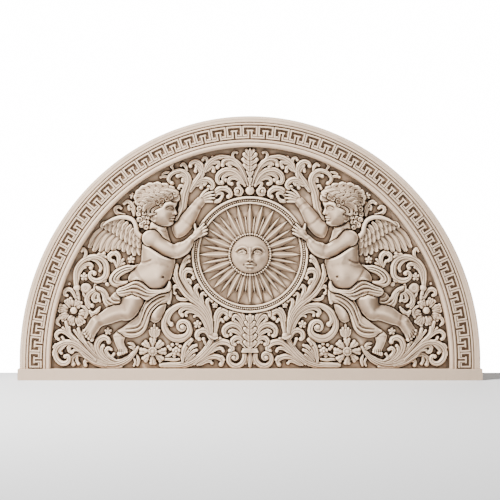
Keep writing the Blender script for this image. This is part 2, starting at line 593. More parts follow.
def palmettes(layer):
    # bottom volute and palmette
    edge = spiral((62, 43), (54, 46, 31, 25, 20, 14), -77, -1, (22, 22, 20, 16, 12, 9))
    stroke(layer, edge, (11, 11, 10, 8, 6, 4.5), 15, 15, "fluted", 0.58, 2)
    bud(layer, (64, 42), 10, 18, 16)
    spray(layer, (((12, 110, 26, 146, 43, 170, 59, 184), 7.5, 6.5),
        ((10, 116, 22, 158, 38, 188, 52, 203, 63, 200, 64, 190), 8.5, 7),
        ((8, 122, 15, 166, 26, 198, 42, 219, 60, 226, 75, 219, 77, 207), 9.5, 7.5)), 16, 14)
    spray(layer, (((16, 88, 30, 120, 48, 140, 66, 147, 79, 142, 75, 133), 8.5, 7),
        ((14, 92, 24, 130, 40, 158, 64, 171, 87, 165, 100, 149, 98, 133, 90, 128), 10.5, 8),
        ((84, 158, 96, 162, 104, 156), 5, 5)), 17, 15)
    spray(layer, (((18, 80, 28, 96, 40, 104, 48, 100), 6, 5),
        ((17, 82, 26, 104, 40, 118, 57, 119, 68, 108, 67, 97, 59, 94), 9, 7.5)), 16, 16)
    pressAll(layer, (((82, 136), 3.2, -16), ((49, 97), 3.0, -14)))
    axisLeaf(layer, 76, 226, ((98, 20), (124, 22), (150, 20), (174, 16), (196, 12)))
    for k in range(3):
        stroke(layer, smoothLine([(0, 66 + 5 * k), (30 - 2 * k, 65 + 5 * k)], 2.4), (4, 4), 8, 26)
    leaf(layer, (0, 62, 0, 34, 0, 8), (), (8, 13, 6), 14, 14)
    leaf(layer, (4, 46, 14, 34, 18, 20), (), (4, 6, 5), 13, 12, 6)
    # top palmette
    axisLeaf(layer, 704, 858, ((734, 6), (762, 10), (786, 21), (808, 26), (828, 22), (843, 14)))
    bud(layer, (0, 692), 17, 18, 20)
    leaf(layer, (8, 712, 19, 745, 36, 780, 56, 803, 80, 813, 101, 807, 107, 792), ((76, 784), (88, 796)),
        (4, 8, 11, 12, 11, 9, 7), 16, 14, 9, (), 9)
    leaf(layer, (44, 792, 60, 810, 68, 828, 62, 841, 51, 840), (), (4, 6, 6.5, 6, 5), 14, 14, 6,
        ((56, 834),))
    leaf(layer, (20, 712, 34, 742, 60, 765, 92, 770, 118, 757, 127, 738, 121, 724, 109, 724),
        ((24, 716, 38, 738, 60, 754, 84, 757, 101, 748, 104, 737, 95, 733),
        (24, 714, 36, 730, 56, 742, 72, 742, 82, 732, 80, 721, 71, 718)), (6, 9, 13, 14, 13, 11, 9, 8), 17,
        14, 9.5, (), 9)
    leaf(layer, (21, 712, 33, 724, 46, 720, 40, 704, 32, 690, 40, 676, 54, 678), (), (4, 7, 6, 7, 8, 7, 6),
        15, 15)
    scroll(layer, (49, 690), (19, 17, 14, 11, 8), -90, 1, (10, 11, 10, 9, 7), 14, 18, 1, 7)
    leaf(layer, (143, 664, 136, 684, 119, 698, 97, 700, 80, 690, 75, 676, 84, 668),
        ((141, 664, 132, 678, 118, 684, 107, 678, 109, 668),), (6, 10, 11, 11, 10, 9, 8), 16, 13, 9,
        ((92, 682),), 7.5)
    leaf(layer, (150, 660, 138, 652, 122, 652, 112, 662), (), (5, 8, 8, 6), 13, 12, 6)
    blob(layer, (92, 706), (8, 6), 12, 13)
    # arching leaf from the main stem
    leaf(layer, (176, 768, 163, 796, 140, 815, 112, 824, 84, 822, 66, 818), ((127, 783), (142, 768)),
        (7, 10, 11, 10, 8, 5), 16, 13, 0, (), 9.5)
    leaf(layer, (168, 780, 164, 800, 168, 816, 178, 820, 184, 812), (), (4, 6.5, 7, 6.5, 5.5), 14, 13, 6.5)
    blob(layer, (146, 824), (6, 5), 10, 12)
    leaf(layer, (187, 740, 184, 768, 192, 793, 210, 805, 228, 800, 232, 788), ((207, 784), (212, 768)),
        (6, 9, 10, 10, 9, 7), 16, 14, 8.5, (), 8.5)
    leaf(layer, (216, 712, 200, 727, 178, 735, 156, 730, 144, 714, 150, 702, 160, 706),
        ((178, 716), (190, 704)), (5, 8, 10, 11, 10, 9, 7), 16, 14, 8.5, (), 9)
    # main upper stem
    band(layer, (272, 572, 250, 618, 244, 646, 238, 677, 230, 700, 226, 720, 227, 738, 233, 755, 247, 770,
        265, 778, 286, 777, 305, 769, 319, 754, 325, 737, 319, 722, 308, 714),
        (22, 28, 30, 32, 34, 34, 30, 26, 22, 20, 18, 16, 15, 14), 16, 15, 3, 0.5, 9)
    leaf(layer, (248, 700, 244, 722, 250, 742, 266, 753, 282, 748), ((262, 728),), (5, 7, 8, 8, 7), 15, 14,
        8)
    leaf(layer, (322, 746, 336, 748, 348, 744), (), (5, 7, 5), 13, 13, 6)
    leaf(layer, (316, 764, 330, 762, 340, 756), (), (4, 6, 5), 12, 12, 5)
    flute(layer, (232, 694, 214, 722, 196, 748, 182, 776), (9, 12, 11, 8), 15, 14, 0.6, 3)
    leaf(layer, (264, 668, 257, 690, 260, 706, 271, 710, 276, 701), (), (5, 7, 8, 7, 6), 14, 13, 7,
        ((268, 700),))
    leaf(layer, (246, 772, 250, 786, 260, 796, 268, 790), (), (5, 7, 7, 5), 13, 13, 6)
    leaf(layer, (298, 774, 306, 788, 300, 798), (), (4, 6, 5), 12, 12, 5)
    # leaves above the wing
    leaf(layer, (488, 598, 504, 600, 520, 608, 524, 622, 512, 630, 502, 624), (), (5, 7, 8, 8, 7, 6), 14,
        13, 6.5)
    leaf(layer, (452, 596, 450, 616, 460, 638, 476, 650, 490, 642), ((470, 620),), (5, 8, 9, 8, 6), 14, 13,
        7, ((463, 629),))
    leaf(layer, (446, 652, 454, 640, 460, 632), (), (4, 6, 5), 13, 12, 6)


medallionParts = {
    "radius": 227,
    "floorRadius": 198,          # inside it the disc lies lower
    "beadRing": 211.2,
    "beads": 160,
    "innerRing": 80,
    "innerBeads": 54,
    "faceRadius": 73,
    "rayFoot": 74,
}


def medallion(layer):
    part = medallionParts
    hub = (0, layout["originHeight"])
    r = np.hypot(*(np.meshgrid(uAxis, vAxis - hub[1])))
    layer[:] = np.where(r < part["radius"], np.where(r < part["floorRadius"], 6.0, 14.0), 0.0)

    def ring(mid, half, height, foot):
        q = np.abs(r - mid)
        rise = (foot + height * roundTop(np.clip(q / half, 0, 1))) * np.clip((half - q) / cell + 0.5, 0, 1)
        np.maximum(layer, rise, out=layer)

    def beads(count, radius, size, height, base):
        for a in np.radians(np.arange(count // 2 + 1) * 360 / count):
            bud(layer, around(hub, radius, a), size, height, base)

    def ray(angle, outer, widths, height):
        reaches = (part["rayFoot"], (part["rayFoot"] + outer) / 2, outer)
        path = [around(hub, reach, np.radians(angle)) for reach in reaches]
        stroke(layer, smoothLine(path, 2.4), widths, height, 10, "ridge")

    ring(222, 5.0, 6, 26)
    ring(201.5, 4.0, 6, 22)
    ring(211, 6.5, 2, 16)
    beads(part["beads"], part["beadRing"], 3.7, 6, 20)
    # thin rays by angle and length, then the main ones over them
    for angle, outer in ((7.2, 152), (21, 158), (38.5, 188), (58.5, 188), (79.5, 188), (100.5, 188), (122, 188),
                         (142, 186), (159, 156), (173, 150)):
        ray(angle, outer, (7, 9, 5.5, 1.2), 13)
    for angle in (0, 14.4, 28, 48, 69, 90, 111, 132.5, 152, 165.6, 180):
        ray(angle, 197 if angle < 120 else 192, (11, 15.5, 10.5, 1.5), 18)
    ring(part["innerRing"], 5.8, 1, 19)
    beads(part["innerBeads"], part["innerRing"], 4.4, 11, 24)
    sunFace(layer, r)


# Places on the sun's face, from its middle
def onSun(places):
    return pairs(places) + (0, layout["originHeight"])


def sunFace(layer, r):
    dome = 22 + 28 * np.clip(1 - (r / 76) ** 2, 0, 1) ** 0.75
    layer[:] = np.where(r < medallionParts["faceRadius"], dome, layer)
    # forehead, cheeks, chin and the sockets of the eyes
    pressAll(layer, (
        ((0, 42, 20, 40), 20, 4.5), ((34, -18), 15, 7.5), ((0, -58), 10, 8.5),
        ((0, -51, 10, -51), 3.8, -5), ((17, 10, 42, 9), 10, -9.5),
        # brow and nose in one line
        ((56, 15, 45, 26, 28, 31, 13, 25, 7, 8), (3, 4.5, 5, 4.5, 3), 7.2),
        ((0, 22, 0, 2, 0, -14), (5, 6, 7.8), 12.5), ((0, -17), 7.4, 9), ((10.5, -19), 4.8, 7.6),
        ((5, -25, 9.5, -24.5), 2.0, -8), ((0, -31), 3, -3.5)), onSun)
    # eyes
    eye = blank()
    blob(eye, onSun((30, 8))[0], (16.5, 8.6), 8.5, 1)
    layer += np.where(eye > 0, eye - 1, 0)
    pressAll(layer, (
        ((13, 4, 20, 15, 31, 17, 48, 6), 2.4, 6), ((15, 2, 26, -2.5, 36, -1.5, 47, 4), 2.2, 3.2),
        ((15, 14, 27, 22, 44, 17), 2.4, -5.5), ((12.5, 4), 2.2, -4.5), ((30, 8), 3.4, -3),
        # lips
        ((0, -35.5, 7, -33.5, 21, -39), (4.2, 2.6), 7.4), ((0, -45.5, 8, -45, 17, -41.5), (5, 3), 8.6),
        ((0, -40.2, 10, -39.7, 22, -39.6), 1.8, -9.5), ((24.5, -39.3), 3.2, -5)), onSun)


def wing(layer):
    # long flight feathers, the innermost lying over the next
    flight = ((560, 550, 594, 520, 624, 476), (546, 542, 580, 508, 606, 462),
        (530, 532, 560, 500, 580, 459), (514, 522, 540, 494, 556, 460), (500, 512, 518, 490, 532, 466))
    for k, points in enumerate(flight):
        feather(layer, points, (11, 15, 16.5, 15, 9), 9, 9 + 2.0 * k)
    short = ((490, 506, 502, 486, 510, 470), (476, 500, 486, 480, 492, 460),
        (460, 492, 468, 470, 472, 450), (444, 484, 450, 464, 451, 445), (428, 480, 430, 466, 430, 448))
    for k, points in enumerate(short):
        feather(layer, points, (9, 12.5, 13.5, 12.5, 8), 8, 17 + 1.2 * k)
    # two rows of scalloped coverts
    outer = ((560, 566, 574, 554), (546, 566, 558, 546), (531, 564, 543, 540), (515, 560, 528, 532),
        (500, 552, 513, 521), (486, 542, 497, 509), (472, 531, 480, 498), (457, 520, 463, 488),
        (443, 510, 447, 479), (428, 506, 431, 476))
    inner = ((530, 578, 545, 566), (512, 578, 527, 562), (494, 574, 509, 553), (478, 566, 492, 542),
        (465, 554, 477, 528), (454, 540, 462, 515), (443, 526, 447, 503), (430, 518, 431, 498))
    for row, width, low, rise in ((outer, (8, 10.5, 11, 9), 23, 0.8), (inner, (7, 9.5, 10, 8), 29, 0.6)):
        for k, (u0, v0, u1, v1) in enumerate(row):
            middle = ((u0 + u1) / 2 + 2, (v0 + v1) / 2)
            feather(layer, (u0, v0, *middle, u1, v1), width, 8, low + rise * k)
    # leading roll
    stroke(layer, smoothLine((410, 512, 426, 515, 440, 530, 444, 556, 456, 577, 478, 587, 502, 588, 528,
        582, 551, 571, 569, 557), 2.4), (9, 10, 9.5, 8.5, 8.5, 8.5, 8, 6.5, 5, 3), 12, 34)


def farArm(layer):
    cushion(layer, (306, 560, 284, 574, 272, 592, 258, 608, 240, 626, 222, 646, 210, 660, 199, 668, 188,
        668, 178, 662, 172, 650, 178, 638, 190, 622, 200, 602, 208, 584, 219, 560, 232, 540, 256, 516, 290,
        510), 20, 24, 14)
    fingers(layer, [(192, 667, 180, 685, 162, 699), (186, 668, 166, 681, 143, 688),
        (180, 663, 160, 672, 137, 676), (177, 657, 159, 661, 138, 663), (177, 650, 161, 650, 145, 649)],
        (5.4, 5.0, 3.8), 18, 14)
    pressAll(layer, (
        ((224, 644, 210, 640, 197, 630, 189, 616), 4.6, -3),
        ((232, 632, 216, 628, 203, 616, 196, 604), 7, 3.8), ((250, 580, 228, 612), 12, 4.5),
        ((276, 592, 260, 578, 242, 562, 222, 556), 6, -3.2)))


def fingers(layer, lines, width, height, base):
    for line in lines:
        stroke(layer, smoothLine(line, 2.0), width, height * 0.55, base + height * 0.2)
        press(layer, line[2:4], 2.0, -1.0)


def rearLeg(layer):
    # foot and shin, mostly behind the cloth
    cushion(layer, (530, 134, 533, 124, 526, 98, 514, 72, 506, 60, 494, 56, 480, 60, 476, 72, 486, 88, 490,
        106, 482, 126, 462, 150, 480, 170, 510, 152), 15, 20, 16)
    for k in range(5):
        blob(layer, (510 - 7.4 * k, 57 + 2.0 * k), (7.4 - 0.6 * k, 9.0 - 0.8 * k), 13, 24)
        press(layer, [(506.2 - 7.4 * k, 54 + 2.0 * k), (507 - 7.0 * k, 74 + k)], 1.4, -6)
    pressAll(layer, (((492, 126, 528, 124), 4, -3), ((524, 108), 7, 3)))


def rearThigh(layer):
    cushion(layer, (318, 285, 325, 250, 332, 224, 341, 202, 352, 186, 366, 178, 382, 182, 394, 196, 404,
        218, 408, 244, 402, 270, 380, 290, 345, 296), 34, 30, 18, (0.0, 0.0), 5)
    pressAll(layer, (((364, 200), 14, 6), ((352, 188, 366, 184), 4, -3)))


# The cloth that blows out behind the back and turns in again over the hip
def backCloth(layer):
    cushion(layer, (424, 408, 452, 402, 478, 403, 502, 396, 522, 386, 539, 369, 549, 348, 545, 330, 530,
        319, 508, 314, 484, 322, 462, 334, 440, 330, 430, 340, 452, 346, 478, 342, 500, 341, 508, 347, 504,
        357, 488, 368, 466, 378, 444, 390, 430, 398), 11, 15, 20, (0.0, 0.0), 2)
    for line, rise in (((448, 399, 480, 396, 506, 386, 526, 371, 538, 352, 536, 336, 524, 327, 506, 325),
            6), ((452, 391, 480, 386, 502, 377, 520, 362, 527, 346, 518, 337, 500, 334), 6),
            ((458, 384, 482, 377, 502, 366, 514, 352, 510, 343), 5)):
        fold(layer, line, 4.5, 2.2, rise, 6)
    for line in ((456, 395, 484, 391, 508, 380, 526, 364, 532, 346, 524, 333),
            (462, 387, 486, 381, 506, 370, 519, 354)):
        press(layer, line, 1.6, -7)


# Cloth falling from the hip between the legs and ending in a swallow tail
def fallingCloth(layer):
    cushion(layer, (312, 318, 308, 290, 312, 262, 324, 257, 345, 250, 362, 238, 378, 220, 390, 196, 397,
        174, 404, 154, 418, 136, 436, 125, 460, 120, 484, 123, 500, 134, 516, 146, 500, 157, 484, 168, 466,
        182, 448, 196, 434, 208, 430, 226, 422, 246, 408, 268, 390, 284, 362, 300, 334, 312), 13, 13, 24,
        (0.0, 0.0), 2)
    for line, broad, rise in (((330, 304, 356, 294, 384, 278, 405, 258, 418, 234, 426, 208, 432, 190), 4.5,
            6), ((326, 290, 352, 282, 380, 266, 400, 244, 412, 220, 420, 196, 430, 176, 446, 166, 470,
            162), 5, 7), ((322, 276, 348, 268, 372, 252, 390, 232, 402, 208, 410, 184, 420, 164, 440, 152,
            468, 148, 494, 146), 5.5, 7), ((322, 266, 346, 257, 366, 242, 382, 224, 394, 200, 402, 176,
            412, 154, 430, 138, 456, 131, 484, 134), 4.5, 6)):
        fold(layer, line, broad, 2.3, rise, 8)
    for line in ((334, 298, 362, 288, 390, 270, 408, 250, 420, 222),
            (330, 283, 356, 275, 382, 258, 402, 234, 412, 208, 422, 184),
            (344, 262, 368, 247, 386, 228, 398, 206), (424, 172, 436, 160, 458, 155, 484, 154),
            (414, 160, 430, 146, 454, 140, 480, 140)):
        press(layer, line, 1.6, -7)
    # the strip hanging straight down at the front
    flute(layer, (313, 340, 311, 310, 312, 280, 316, 256), (5, 8, 8.5, 7), 12, 26, 0.58, 2, 2.0)


# The gathered band round the hips
def hipBand(layer):
    cushion(layer, (520, 302, 508, 314, 486, 322, 464, 334, 440, 344, 420, 338, 402, 322, 386, 309, 360,
        308, 336, 312, 322, 324, 314, 342, 306, 330, 308, 306, 324, 297, 350, 292, 378, 277, 400, 265, 412,
        270, 426, 279, 444, 282, 456, 289, 470, 284, 486, 281, 502, 281, 514, 288), 12, 13, 38, (0.0, 0.0),
        2)
    for line, broad, rise in (((500, 314, 476, 322, 452, 335, 432, 336, 414, 324, 398, 310, 380, 304, 350,
            304, 324, 312), 4, 6), ((514, 304, 486, 311, 458, 321, 434, 320, 412, 308, 392, 298, 364, 297,
            338, 300, 318, 310), 5, 7), ((516, 296, 488, 300, 460, 306, 434, 302, 410, 292, 388, 287, 366,
            290, 340, 297), 5, 7), ((508, 287, 484, 290, 460, 294, 440, 288, 418, 278, 402, 274, 384, 281),
            4, 5)):
        fold(layer, line, broad, 2.2, rise, 7)
    for line in ((500, 309, 472, 319, 446, 328, 424, 318, 402, 305),
            (510, 300, 480, 306, 452, 313, 424, 306, 398, 294), (456, 290, 458, 300),
            (440, 296, 412, 285, 390, 284)):
        press(layer, line, 1.6, -7)


# Cloth ends that show to the left of the thigh
def outerCloth(layer):
    cushion(layer, (602, 322, 586, 319, 566, 309, 553, 293, 546, 276, 536, 288, 520, 300, 504, 300, 496,
        280, 496, 256, 504, 247, 530, 246, 556, 234, 566, 246, 574, 262, 576, 280, 584, 294, 598, 304), 11,
        14, 16, (0.0, 0.0), 2)
    for line in ((592, 312, 572, 300, 562, 280, 554, 260, 540, 250, 510, 250),
            (578, 298, 569, 276, 562, 254, 550, 244), (548, 282, 540, 266, 522, 257, 502, 258),
            (532, 288, 524, 276, 504, 270)):
        fold(layer, line, 4.5, 2.2, 6, 7)
    for line in ((584, 306, 566, 290, 556, 268, 540, 256), (540, 276, 528, 264, 508, 263)):
        press(layer, line, 1.5, -6)


def frontLeg(layer):
    cushion(layer, (404, 300, 408, 272, 418, 246, 430, 226, 444, 207, 464, 190, 482, 186, 502, 187, 522,
        181, 539, 175, 557, 170, 572, 166, 583, 158, 591, 146, 600, 134, 608, 116, 618, 110, 630, 118, 641,
        132, 645, 150, 633, 170, 618, 194, 604, 206, 588, 212, 572, 224, 556, 236, 530, 246, 506, 250, 499,
        264, 500, 290, 486, 304, 440, 306), 42, 38, 24, (0.0, 0.05), 6)
    # thigh, knee, calf
    pressAll(layer, (
        ((456, 290, 452, 250), 24, 10.4), ((468, 214), 15, 6.5), ((520, 216, 552, 204), 16, 6.5),
        ((500, 252, 491, 238, 486, 229), 8.5, -4.2), ((482, 196, 496, 204), 5, -3.2),
        ((455, 196, 448, 214), 5, -2.6), ((592, 204, 584, 184, 578, 172), 7, -7.8), ((606, 192), 7, 5.2),
        ((600, 168, 616, 136), 10, 3.9)))
    for k, tip in enumerate(((615, 113), (626, 118), (635, 126), (641, 136), (643, 147))):
        size = 9.0 if k == 0 else 7.2
        blob(layer, tip, (size, size), 13, 24, 0, 3)
    for cut in ((620.5, 112, 613, 132), (631, 120, 621, 138), (638, 130, 627, 144),
            (642.5, 141, 632, 152)):
        press(layer, cut, 1.5, -6.6)


def torso(layer):
    cushion(layer, (384, 548, 398, 534, 409, 520, 416, 500, 420, 473, 422, 440, 424, 415, 440, 396, 464,
        372, 474, 352, 468, 330, 448, 312, 420, 300, 380, 296, 340, 300, 320, 320, 311, 343, 304, 362, 297,
        384, 292, 404, 292, 428, 300, 450, 304, 480, 316, 512, 326, 545, 350, 560), 60, 44, 22,
        (0.0, 0.03), 7)
    # neck
    limb(layer, (366, 500, 364, 545, 352, 590), (44, 38, 34), 22, 0.7, 12)
    pressAll(layer, (
        ((326, 530, 346, 536, 366, 548), 3.5, -3.9),
        # belly, ribs, flank
        ((352, 356), 30, 15), ((342, 452), 24, 11), ((438, 352), 22, 10), ((404, 470, 402, 440), 16, 5.8),
        # crease at the waist, groin fold, belly crease, navel
        ((426, 416, 412, 413, 396, 417, 382, 424), 4, -6.5), ((426, 406, 408, 404, 390, 410), 7, 4.3),
        ((400, 316, 414, 338, 430, 360, 442, 378), 6, -7.2),
        ((446, 386, 420, 394, 392, 402, 356, 404, 320, 398), 11, -5), ((337, 357), 4.2, -13),
        ((337, 346), 6, 3.6), ((380, 300, 350, 306, 322, 330), 8, -5.8),
        ((390, 478, 372, 462, 352, 448, 330, 440), 7, -4.3), ((360, 430, 352, 408), 9, 2.9)))


def nearArm(layer):
    cushion(layer, (411, 506, 405, 524, 390, 538, 370, 540, 352, 526, 338, 508, 320, 496, 306, 487, 295,
        482, 284, 488, 262, 494, 247, 503, 234, 515, 222, 524, 216, 536, 206, 546, 188, 546, 182, 534, 188,
        520, 200, 508, 216, 496, 222, 478, 232, 461, 247, 445, 267, 433, 288, 428, 317, 432, 340, 440, 363,
        455, 385, 470, 402, 484), 26, 34, 30, (0.0, 0.0), 5)
    blob(layer, (388, 506), (32, 32), 38, 30, 0, 12)
    blob(layer, (330, 470), (44, 24), 36, 30, 22, 12)
    blob(layer, (258, 466), (36, 24), 34, 30, -42, 12)
    pressAll(layer, (
        ((296, 484, 291, 472, 289, 460, 288, 448), 8, -4.5),
        ((240, 510, 229, 506, 220, 497, 216, 486), 4.5, -3.5),
        ((248, 500, 238, 495, 230, 486, 226, 474), 6, 2.8)))
    blob(layer, (202, 526), (18, 17), 22, 30, 0, 8)
    fingers(layer, [(208, 534, 212, 547, 214, 560), (199, 537, 190, 550, 179, 562),
        (196, 531, 184, 543, 171, 552), (194, 524, 181, 533, 167, 540), (194, 515, 182, 521, 168, 526)],
        (5.6, 5.2, 4.0), 18, 30)


# A child's head turned to the centreline. The face is set out from the nape (-1) to the nose tip (+1), and
# from the chin (0) to the hairline (1)
def onFace(places):
    return [(350 - 80 * r - 6 * t, 553 + 137 * t + 5 * r) for r, t in pairs(places)]


def head(layer):
    profile = (0.10, 0.0, 0.38, -0.01, 0.54, 0.01, 0.64, 0.05, 0.66, 0.09, 0.635, 0.13, 0.69, 0.165, 0.655,
        0.20, 0.72, 0.235, 0.70, 0.285, 0.80, 0.31, 0.82, 0.345, 0.755, 0.42, 0.70, 0.50, 0.76, 0.58, 0.80,
        0.68, 0.78, 0.82, 0.60, 0.98, 0.2, 1.06, -0.4, 1.04, -0.85, 0.86, -0.95, 0.60, -0.72, 0.34, -0.42,
        0.18, -0.14, 0.05)
    skull = blank()
    cushion(skull, onFace(profile), 46, 40, 30, (0.06, 0.0), 5)
    # forehead, cheek, jaw and chin
    pressAll(skull, (
        ((0.56, 0.74), 20, 6.8), ((0.26, 0.27), 22, 9.5), ((0.52, 0.06), 8, 6.8),
        ((0.60, 0.125, 0.50, 0.125), 4.5, -4.1),
        # eye socket, brow, nose
        ((0.54, 0.49, 0.36, 0.49), 8, -9), ((0.74, 0.565, 0.54, 0.605, 0.34, 0.59, 0.20, 0.54), 4.5, 3.4),
        ((0.69, 0.52, 0.725, 0.43, 0.76, 0.36), 5, 8.1), ((0.755, 0.335), 5, 6.8), ((0.63, 0.328), 4, 6.1),
        ((0.70, 0.295, 0.64, 0.293), 1.9, -4.8),
        ((0.56, 0.35, 0.49, 0.28, 0.46, 0.23), 3.5, -2.4)), onFace)
    # eyeball and lids
    eye = blank()
    blob(eye, onFace((0.46, 0.485))[0], (11.5, 6.5), 6, 1, -4)
    skull += np.where(eye > 0, eye - 1, 0)
    pressAll(skull, (
        ((0.62, 0.47, 0.54, 0.52, 0.44, 0.53, 0.30, 0.475), 2.0, 4.8),
        ((0.58, 0.455, 0.48, 0.44, 0.38, 0.455), 1.8, 1.2), ((0.63, 0.475), 2.2, -3.6),
        ((0.63, 0.505, 0.48, 0.56, 0.30, 0.52), 1.9, -3.6),
        # lips
        ((0.70, 0.235, 0.61, 0.225, 0.50, 0.205), (3.6, 2.2), 6),
        ((0.665, 0.17, 0.60, 0.168, 0.52, 0.188), (4.0, 2.2), 7.4),
        ((0.68, 0.20, 0.58, 0.202, 0.47, 0.20), 1.5, -7.2), ((0.455, 0.20), 2.8, -3.6)), onFace)
    # ear
    press(skull, (376, 584), 11, -6.8)
    ear = blank()
    stroke(ear, smoothLine((364, 590, 368, 601, 379, 603, 387, 594, 385, 581, 376, 572, 368, 574), 1.6),
        (3, 3.6, 3.8, 3.6, 4.2), 6, 1)
    skull += np.where(ear > 0, ear, 0)
    press(skull, (377, 590), 3.4, -9.6)
    place(layer, skull, 0.35)
    locks = blank()
    hair(locks)
    place(layer, locks, 0.35)


def hair(layer):
    cushion(layer, (298, 664, 288, 660, 279, 668, 279, 684, 290, 697, 308, 706, 330, 711, 361, 715, 388,
        711, 410, 698, 426, 682, 436, 660, 439, 636, 432, 616, 420, 606, 404, 610, 392, 622, 376, 632, 356,
        636, 340, 644, 318, 654), 40, 30, 30, (0.0, 0.04), 5)
    locks = blank()
    # wavy locks in three tiers, from the crown outwards
    tiers = ((0.50, 1.02, 12, -96, 245, 9.4, 0.5), (0.22, 0.66, 8, -80, 260, 9.6, 3.0),
        (0.02, 0.36, 4, -60, 300, 9.0, 5.5))
    for near, far, count, first, sweep, size, low in tiers:
        for k in range(count):
            a = np.radians(first + sweep * k / (count - 1))
            waves = ((near, -0.10), (near * 0.7 + far * 0.3, 0.10), (near * 0.35 + far * 0.65, -0.08),
                (far, 0.06), (far + 0.01, 0.22))
            line = [(362 + reach * 80 * np.sin(a + turn), 664 + reach * 52 * np.cos(a + turn))
                for reach, turn in waves]
            flute(locks, line, np.array((0.5, 0.95, 1.0, 0.95, 0.6)) * size, 10, low, 0.56, 2, 2.0)
    # the band over the brow, each lock turned up at its end
    for line, size in (((330, 696, 312, 694, 296, 688, 289, 676, 297, 667, 304, 674), 6.5),
            ((346, 684, 328, 682, 313, 672, 309, 660, 319, 654, 325, 661), 6.5),
            ((364, 678, 348, 674, 333, 664, 330, 652, 340, 646, 346, 653), 6.5),
            ((384, 672, 370, 668, 354, 658, 351, 646, 361, 639, 367, 646), 6.5),
            ((402, 664, 389, 660, 375, 651, 372, 641, 382, 634, 388, 641), 6.5),
            ((416, 652, 406, 650, 396, 641, 393, 631, 402, 625, 408, 632), 6.5)):
        flute(locks, line, np.array(lock) * size, 12, 5, 0.58, 2, 1.8)
    # locks swept back over the ear
    for line, size in (((338, 640, 352, 630, 366, 624, 378, 613, 376, 601, 367, 601), 6.0),
            ((350, 643, 370, 637, 386, 628, 395, 613, 391, 600, 382, 600), 6.5),
            ((372, 646, 390, 641, 405, 629, 411, 613, 405, 602, 397, 604), 6.5)):
        flute(locks, line, np.array(lock) * size, 12, 6, 0.58, 2, 1.8)
    # the locks are raised on the mass beneath
    layer[:] = np.where(locks > 0, np.maximum(layer, 31) + locks, layer)
    # the scalloped hairline
    for centre, size, start, turn in (((292, 676), 12, 250, -1), ((307, 668), 11, 200, 1),
            ((323, 659), 11, 230, -1), ((341, 652), 11, 210, 1), ((358, 645), 10, 240, -1),
            ((345, 634), 8, 250, -1)):
        curl(layer, centre, size, start, turn, 13, 42)
    # curls at the nape
    for centre, size, start, turn in (((431, 600), 12, 60, 1), ((428, 621), 13, 90, -1),
            ((396, 588), 10, 20, 1), ((412, 604), 12, 300, -1), ((414, 586), 12, 200, -1),
            ((429, 580), 12, 250, 1), ((397, 568), 9, 90, 1), ((409, 567), 12, 120, -1),
            ((421, 558), 12, 0, 1), ((403, 550), 11, 180, 1)):
        curl(layer, centre, size, start, turn, 18, 28)


# The left half of the relief: each part is carved on a layer of its own, then set over those before it
def build():
    relief = blank()
    steps = ((lowerFoliage, 0.0), (leftFoliage, 0.0), (palmettes, 0.0), (medallion, 0.5), (wing, 0.5),
             (farArm, 0.5), (outerCloth, 0.5), (backCloth, 0.5), (rearLeg, 0.5), (rearThigh, 0.5),
             (fallingCloth, 0.5), (frontLeg, 0.5), (torso, 0.5), (hipBand, 0.4), (head, 0.5), (nearArm, 0.5))
    for make, halo in steps:
        layer = blank()
        make(layer)
        place(relief, layer, halo)
    return relief


# A point of the arch's outer edge moved inwards along its normal; angle 0 is the left foot
def archPoint(angle, inset):
    a, b = layout["archHalfWidth"], layout["archRise"]
    x, z = -a * np.cos(angle), b * np.sin(angle)
    nx, nz = -np.cos(angle) / a, np.sin(angle) / b
    size = np.hypot(nx, nz)
    return x - inset * nx / size, layout["archStilt"] + z - inset * nz / size, nx / size, nz / size


def show(name, data):
    made = bpy.data.objects.new(name, data)
    bpy.context.scene.collection.objects.link(made)
    return made


# Puts points in millimetres (x, height above the sill, depth from the back) into a mesh of quads and faces
# with more corners, with its shades and its stone
def newPiece(name, points, quads, faces, slot, node, shades, sharpAngle=None):
    where = np.stack([points[:, 0], -points[:, 2], points[:, 1] - layout["originHeight"]], 1) * mm
    mesh = bpy.data.meshes.new(name)
    sizes = np.concatenate([np.full(len(quads), 4), [len(f) for f in faces]]).astype(np.int32)
    loops = np.concatenate([np.asarray(quads).ravel()] + [np.asarray(f) for f in faces]).astype(np.int32)
    mesh.vertices.add(len(where))
    mesh.vertices.foreach_set("co", where.astype(np.float32).ravel())
    mesh.loops.add(len(loops))
    mesh.loops.foreach_set("vertex_index", loops)
    mesh.polygons.add(len(sizes))
    mesh.polygons.foreach_set("loop_start", np.concatenate([[0], np.cumsum(sizes)[:-1]]).astype(np.int32))
    mesh.update(calc_edges=True)
    mesh.validate()
    mesh.shade_smooth()
    if sharpAngle:
        mesh.set_sharp_from_angle(angle=math.radians(sharpAngle))
    piece = show(name, mesh)
    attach(piece, "root")
    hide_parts(node)
    for kind, values in zip(("hollow", "shut"), shades):
        layer = mesh.attributes.new(kind, "FLOAT", "POINT")
        layer.data.foreach_set("value", np.asarray(values, np.float32))
    mesh.materials.append(stones[slot.split("_")[0]])
    print(name, len(mesh.polygons), flush=True)
    return mesh


fieldParts = {
    "strips": 5,
    "overlap": 0.4,              # how far the field runs in under the frame
    "frameLip": 38.0,            # the frame's height over the ground, for the shade beside it
    "fineBlur": 2.0,
    "fineScale": 3.6,
    "wideBlur": 6.5,
    "wideScale": 14,
    "reaches": (2, 4, 6, 9, 13, 18, 24),
    "fadeReach": 28.0,
    "wallLimit": 13.0,
}


# How much higher the surroundings stand than each point, over a small reach and a wider one
def hollows(height):
    part = fieldParts
    fine = blur(height, 2, part["fineBlur"]) - height
    wide = blur(height, 2, part["wideBlur"]) - height
    return np.clip(fine / part["fineScale"] + wide / part["wideScale"], -1, 1.5)


